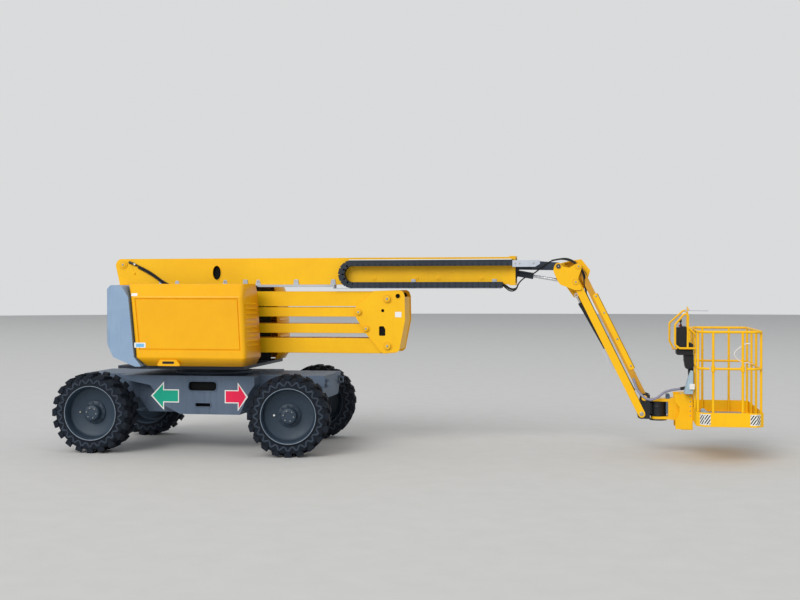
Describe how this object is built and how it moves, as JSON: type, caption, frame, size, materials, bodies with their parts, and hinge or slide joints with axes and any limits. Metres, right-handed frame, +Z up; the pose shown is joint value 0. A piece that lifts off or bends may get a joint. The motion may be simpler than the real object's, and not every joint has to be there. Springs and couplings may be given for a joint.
{
  "type": "articulating boom lift",
  "caption": "Self-propelled articulating boom lift with folded riser arms, telescopic boom, jib and rail-guarded work basket.",
  "frame": {"origin": "on the ground under the middle of the whole machine's box", "axes": "+X towards the basket, +Y to the machine's left, +Z up"},
  "size_m": [9.068, 2.5166, 2.577],
  "materials": {
    "golden_yellow_paint": "gloss paint",
    "slate_grey_paint": "satin paint",
    "pale_grey_casting": "painted casting",
    "yellow_moulding": "gloss moulding",
    "dark_machinery": "painted casting",
    "black_paint": "satin paint",
    "chromed_rod": "polished",
    "galvanised_steel": "galvanised",
    "dark_chain": "moulded links",
    "black_moulding": "moulded",
    "rim_paint": "satin paint",
    "solid_tyre_rubber": "moulded rubber"
  },
  "bodies": {
    "chassis": {"chassis": "slate_grey_paint", "tie_down_lugs": "slate_grey_paint", "axles": "slate_grey_paint"},
    "tie_rod": {"tie_rod": "slate_grey_paint"},
    "knuckle_near": {"knuckle_near": "slate_grey_paint"},
    "knuckle_far": {"knuckle_far": "slate_grey_paint"},
    "turntable": {"turntable": "slate_grey_paint", "counterweight": "pale_grey_casting", "power_pack": "dark_machinery"},
    "hood_near": {"hood_near": "yellow_moulding"},
    "hood_far": {"hood_far": "yellow_moulding"},
    "lower_arm": {"lower_arm": "golden_yellow_paint"},
    "lower_link": {"lower_link": "golden_yellow_paint"},
    "upright": {"upright": "golden_yellow_paint"},
    "upper_arm": {"upper_arm": "golden_yellow_paint"},
    "upper_link": {"upper_link": "golden_yellow_paint"},
    "boom_head": {"boom_head": "golden_yellow_paint"},
    "riser_barrel": {"riser_barrel": "black_paint"},
    "riser_rod": {"riser_rod": "chromed_rod"},
    "boom": {"boom_outer": "golden_yellow_paint", "chain_tray": "galvanised_steel", "energy_chain": "dark_chain"},
    "boom_barrel": {"boom_barrel": "black_paint"},
    "boom_rod": {"boom_rod": "chromed_rod"},
    "boom_inner": {"boom_inner": "golden_yellow_paint"},
    "level_rod": {"level_rod": "chromed_rod"},
    "jib_head": {"jib_head": "golden_yellow_paint"},
    "jib_lower_bar": {"jib_lower_bar": "golden_yellow_paint"},
    "jib_upper_bar": {"jib_upper_bar": "golden_yellow_paint"},
    "jib_barrel": {"jib_barrel": "black_paint"},
    "jib_rod": {"jib_rod": "chromed_rod"},
    "jib_foot": {"jib_foot": "golden_yellow_paint", "rotary_actuator": "black_paint"},
    "basket": {"basket_bracket": "golden_yellow_paint", "basket_floor": "golden_yellow_paint", "basket_rails": "golden_yellow_paint", "console": "black_moulding"},
    "gate": {"gate": "golden_yellow_paint"},
    "wheel_rear_near": {"rim_rear_near": "rim_paint", "tyre_rear_near": "solid_tyre_rubber"},
    "wheel_rear_far": {"rim_rear_far": "rim_paint", "tyre_rear_far": "solid_tyre_rubber"},
    "wheel_front_near": {"rim_front_near": "rim_paint", "tyre_front_near": "solid_tyre_rubber"},
    "wheel_front_far": {"rim_front_far": "rim_paint", "tyre_front_far": "solid_tyre_rubber"}
  },
  "joints": [
    {"name": "slew", "type": "hinge", "parent": "chassis", "child": "turntable", "pos_m": [-2.709, 0, 1.05], "axis": [0, 0, 1], "continuous": true},
    {"name": "riser_lift", "type": "hinge", "parent": "turntable", "child": "lower_arm", "pos_m": [-3.359, 0, 1.387], "axis": [0, -1, 0], "range_deg": [0, 72]},
    {"name": "lower_link_turn", "type": "hinge", "parent": "turntable", "child": "lower_link", "pos_m": [-3.648, 0, 1.617], "axis": [0, -1, 0], "range_deg": [0, 72]},
    {"name": "upright_level", "type": "hinge", "parent": "lower_arm", "child": "upright", "pos_m": [-0.221, 0, 1.387], "axis": [0, -1, 0], "range_deg": [-72, 0]},
    {"name": "upper_arm_fold", "type": "hinge", "parent": "upright", "child": "upper_arm", "pos_m": [-0.224, 0, 2.014], "axis": [0, -1, 0], "range_deg": [-72, 0]},
    {"name": "upper_link_turn", "type": "hinge", "parent": "upright", "child": "upper_link", "pos_m": [-0.612, 0, 1.837], "axis": [0, -1, 0], "range_deg": [-72, 0]},
    {"name": "boom_head_level", "type": "hinge", "parent": "upper_arm", "child": "boom_head", "pos_m": [-3.509, 0, 2.014], "axis": [0, -1, 0], "range_deg": [0, 72]},
    {"name": "riser_barrel_turn", "type": "hinge", "parent": "turntable", "child": "riser_barrel", "pos_m": [-3.059, 0, 1.19], "axis": [0, -1, 0], "range_deg": [0, 76]},
    {"name": "riser_rod_slide", "type": "slide", "parent": "riser_barrel", "child": "riser_rod", "axis": [0.9806, 0, 0.1961], "range_m": [0, 0.4203]},
    {"name": "boom_lift", "type": "hinge", "parent": "boom_head", "child": "boom", "pos_m": [-3.968, 0, 2.487], "axis": [0, -1, 0], "range_deg": [0, 75]},
    {"name": "boom_barrel_turn", "type": "hinge", "parent": "boom_head", "child": "boom_barrel", "pos_m": [-3.759, 0, 2.11], "axis": [0, -1, 0], "range_deg": [0, 73]},
    {"name": "boom_rod_slide", "type": "slide", "parent": "boom_barrel", "child": "boom_rod", "axis": [0.9998, 0, 0.0213], "range_m": [0, 0.5212]},
    {"name": "telescope", "type": "slide", "parent": "boom", "child": "boom_inner", "axis": [1, 0, 0], "range_m": [0, 3]},
    {"name": "jib_head_level", "type": "hinge", "parent": "boom_inner", "child": "jib_head", "pos_m": [2.026, 0, 2.44], "axis": [0, -1, 0], "range_deg": [-75, 0]},
    {"name": "level_rod_slide", "type": "slide", "parent": "boom_inner", "child": "level_rod", "axis": [0.9859, 0, -0.1676], "range_m": [-0.2489, 0]},
    {"name": "jib_lift", "type": "hinge", "parent": "jib_head", "child": "jib_lower_bar", "pos_m": [2.251, 0, 2.232], "axis": [0, -1, 0], "range_deg": [0, 115]},
    {"name": "jib_link_turn", "type": "hinge", "parent": "jib_head", "child": "jib_upper_bar", "pos_m": [2.286, 0, 2.437], "axis": [0, -1, 0], "range_deg": [0, 115]},
    {"name": "jib_foot_level", "type": "hinge", "parent": "jib_lower_bar", "child": "jib_foot", "pos_m": [3.094, 0, 0.527], "axis": [0, -1, 0], "range_deg": [-115, 0]},
    {"name": "jib_barrel_turn", "type": "hinge", "parent": "jib_lower_bar", "child": "jib_barrel", "pos_m": [2.65846, 0, 1.34022], "axis": [0, -1, 0], "range_deg": [0, 3]},
    {"name": "jib_rod_slide", "type": "slide", "parent": "jib_barrel", "child": "jib_rod", "axis": [-0.4882, 0, 0.8728], "range_m": [0, 0.2881]},
    {"name": "basket_turn", "type": "hinge", "parent": "jib_foot", "child": "basket", "pos_m": [3.307, 0, 0.59], "axis": [0, 0, 1], "range_deg": [-90, 90]},
    {"name": "gate_lift", "type": "slide", "parent": "basket", "child": "gate", "axis": [0, 0, 1], "range_m": [0, 0.3]},
    {"name": "steer_near", "type": "hinge", "parent": "chassis", "child": "knuckle_near", "pos_m": [-1.409, -0.7, 0.525], "axis": [0, 0, 1], "range_deg": [-38, 22]},
    {"name": "steer_far", "type": "hinge", "parent": "chassis", "child": "knuckle_far", "pos_m": [-1.409, 0.7, 0.525], "axis": [0, 0, 1], "range_deg": [-38, 22]},
    {"name": "tie_rod_slide", "type": "slide", "parent": "chassis", "child": "tie_rod", "axis": [0, 1, 0], "range_m": [-0.0845, 0.1457]},
    {"name": "wheel_rear_near", "type": "hinge", "parent": "chassis", "child": "wheel_rear_near", "pos_m": [-4.009, -0.9975, 0.525], "axis": [0, 1, 0], "continuous": true},
    {"name": "wheel_rear_far", "type": "hinge", "parent": "chassis", "child": "wheel_rear_far", "pos_m": [-4.009, 0.9975, 0.525], "axis": [0, 1, 0], "continuous": true},
    {"name": "wheel_front_near", "type": "hinge", "parent": "knuckle_near", "child": "wheel_front_near", "pos_m": [-1.3676, -0.9946, 0.525], "axis": [-0.1392, 0.9903, 0], "continuous": true},
    {"name": "wheel_front_far", "type": "hinge", "parent": "knuckle_far", "child": "wheel_front_far", "pos_m": [-1.4504, 0.9946, 0.525], "axis": [-0.1392, 0.9903, 0], "continuous": true},
    {"name": "hood_near_open", "type": "hinge", "parent": "turntable", "child": "hood_near", "pos_m": [-2.709, -0.435, 2.193], "axis": [-1, 0, 0], "range_deg": [0, 60]},
    {"name": "hood_far_open", "type": "hinge", "parent": "turntable", "child": "hood_far", "pos_m": [-2.709, 0.435, 2.193], "axis": [1, 0, 0], "range_deg": [0, 60]}
  ],
  "couplings": [
    {"joint": "lower_link_turn", "follows": "riser_lift", "ratio": 1},
    {"joint": "upright_level", "follows": "riser_lift", "ratio": -1},
    {"joint": "upper_arm_fold", "follows": "riser_lift", "ratio": -1},
    {"joint": "upper_link_turn", "follows": "riser_lift", "ratio": -1},
    {"joint": "boom_head_level", "follows": "riser_lift", "ratio": 1},
    {"joint": "riser_barrel_turn", "follows": "riser_lift", "ratio": 1.0485},
    {"joint": "riser_rod_slide", "follows": "riser_lift", "m_per_rad": 0.33291},
    {"joint": "boom_barrel_turn", "follows": "boom_lift", "ratio": 0.96647},
    {"joint": "boom_rod_slide", "follows": "boom_lift", "m_per_rad": 0.39666},
    {"joint": "jib_head_level", "follows": "boom_lift", "ratio": -1},
    {"joint": "level_rod_slide", "follows": "boom_lift", "m_per_rad": -0.18865},
    {"joint": "jib_link_turn", "follows": "jib_lift", "ratio": 1},
    {"joint": "jib_foot_level", "follows": "jib_lift", "ratio": -1},
    {"joint": "jib_barrel_turn", "follows": "jib_lift", "ratio": 0.010141},
    {"joint": "jib_rod_slide", "follows": "jib_lift", "m_per_rad": 0.14254},
    {"joint": "steer_far", "follows": "steer_near", "ratio": 1},
    {"joint": "tie_rod_slide", "follows": "steer_near", "m_per_rad": -0.2195}
  ]
}
